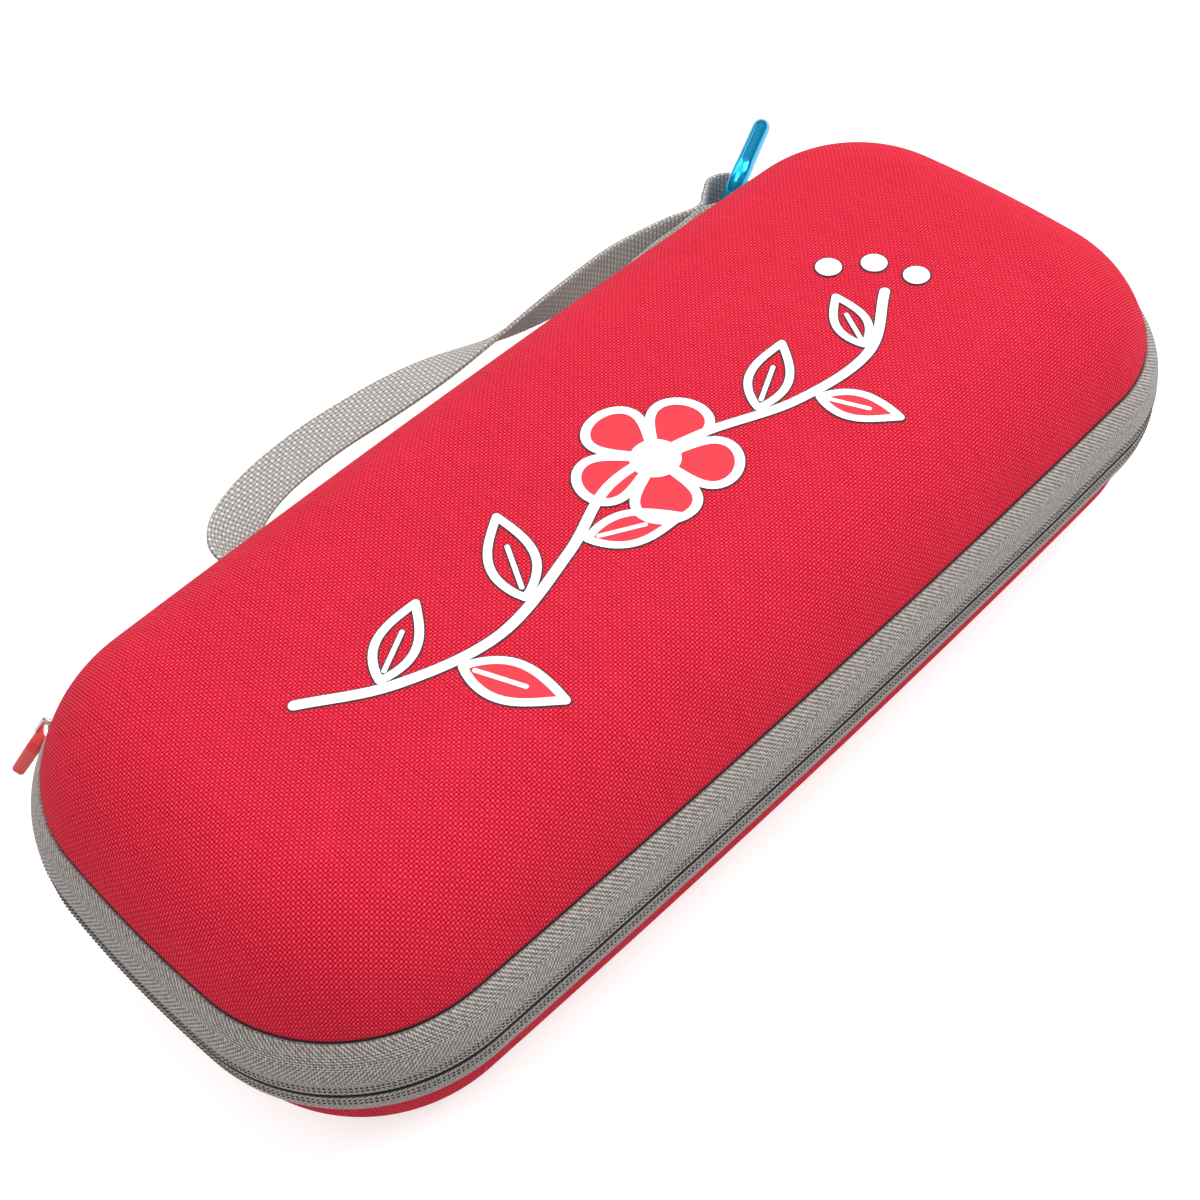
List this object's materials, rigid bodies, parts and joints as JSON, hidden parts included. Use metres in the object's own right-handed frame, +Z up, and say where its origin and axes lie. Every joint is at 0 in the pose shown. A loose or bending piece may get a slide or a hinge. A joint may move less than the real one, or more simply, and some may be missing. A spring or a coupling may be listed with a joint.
{
  "type": "stethoscope case",
  "caption": "Long moulded hard-shell case with a hinged domed lid, zip around the rim, webbing carry strap and a small snap hook.",
  "frame": {"origin": "centre of the flat bottom face, on the plane it rests on", "axes": "+X along the length, -Y the front long side, +Y the spine with the strap, +Z up"},
  "size_m": [0.2912, 0.1607, 0.0676],
  "materials": {
    "cover_cloth": "woven polyester, red",
    "foam": "closed-cell EVA foam",
    "lining": "brushed knit lining, charcoal",
    "zip_tape": "woven grey zip tape",
    "coil": "nylon coil, black",
    "stop": "stitched tape stop",
    "binding": "binding tape, black",
    "slider_metal": "nickel-plated zinc",
    "grip": "moulded soft red grip",
    "webbing": "grey ribbed webbing",
    "thread": "grey sewing thread",
    "clip": "blue anodised, polished",
    "clip_gate": "bright polished",
    "pin": "plain",
    "elastic": "ribbed black elastic",
    "net": "black mesh"
  },
  "bodies": {
    "base": {"base_cover": "cover_cloth", "base_foam_shell": "foam", "base_lining": "lining", "base_zip_tape": "zip_tape", "base_zip_coil": "coil", "base_zip_stops": "stop", "base_rim_binding": "binding", "base_spine_web": "zip_tape", "strap_end_left": "webbing", "strap_end_right": "webbing", "strap_end_tacks": "thread", "elastic_band_left": "elastic", "elastic_band_right": "elastic", "elastic_band_tacks": "thread"},
    "lid": {"lid_cover": "cover_cloth", "lid_foam_shell": "foam", "lid_lining": "lining", "lid_zip_tape": "zip_tape", "lid_zip_coil": "coil", "lid_zip_stops": "stop", "lid_rim_binding": "binding", "lid_spine_web": "zip_tape", "pocket_net": "net", "pocket_elastic": "elastic"},
    "slider": {"slider_body": "slider_metal", "slider_bail": "slider_metal"},
    "pull": {"pull_link": "slider_metal", "pull_grip": "grip"},
    "strap": {"strap_webbing": "webbing", "strap_loop_tack": "thread"},
    "carabiner": {"carabiner_frame": "clip", "carabiner_gate_pin": "pin"},
    "gate": {"carabiner_gate": "clip_gate"}
  },
  "joints": [
    {"name": "lid_hinge", "type": "hinge", "parent": "base", "child": "lid", "pos_m": [0, 0.06345, 0.0328], "axis": [-1, 0, 0], "range_deg": [0, 100]},
    {"name": "zip_slide", "type": "hinge", "parent": "base", "child": "slider", "pos_m": [-0.10073, 0.02028, 0.0328], "axis": [0, 0, 1], "range_deg": [0, 52]},
    {"name": "pull_swing", "type": "hinge", "parent": "slider", "child": "pull", "pos_m": [-0.11819, 0.06348, 0.0328], "axis": [0.9272, 0.3746, 0], "range_deg": [-30, 33]},
    {"name": "strap_swing", "type": "hinge", "parent": "base", "child": "strap", "pos_m": [0, 0.0638, 0.0235], "axis": [1, 0, 0], "range_deg": [-12, 0]},
    {"name": "carabiner_swing", "type": "hinge", "parent": "strap", "child": "carabiner", "pos_m": [0.1195, 0.0807, 0.02], "axis": [0.1846, -0.2527, 0.9498], "range_deg": [-10, 28]},
    {"name": "gate_hinge", "type": "hinge", "parent": "carabiner", "child": "gate", "pos_m": [0.12646, 0.08789, 0.0095], "axis": [0.4174, -0.8547, -0.3086], "range_deg": [0, 24], "stiffness_Nm_per_rad": 0.02, "springref_deg": -11.46}
  ]
}
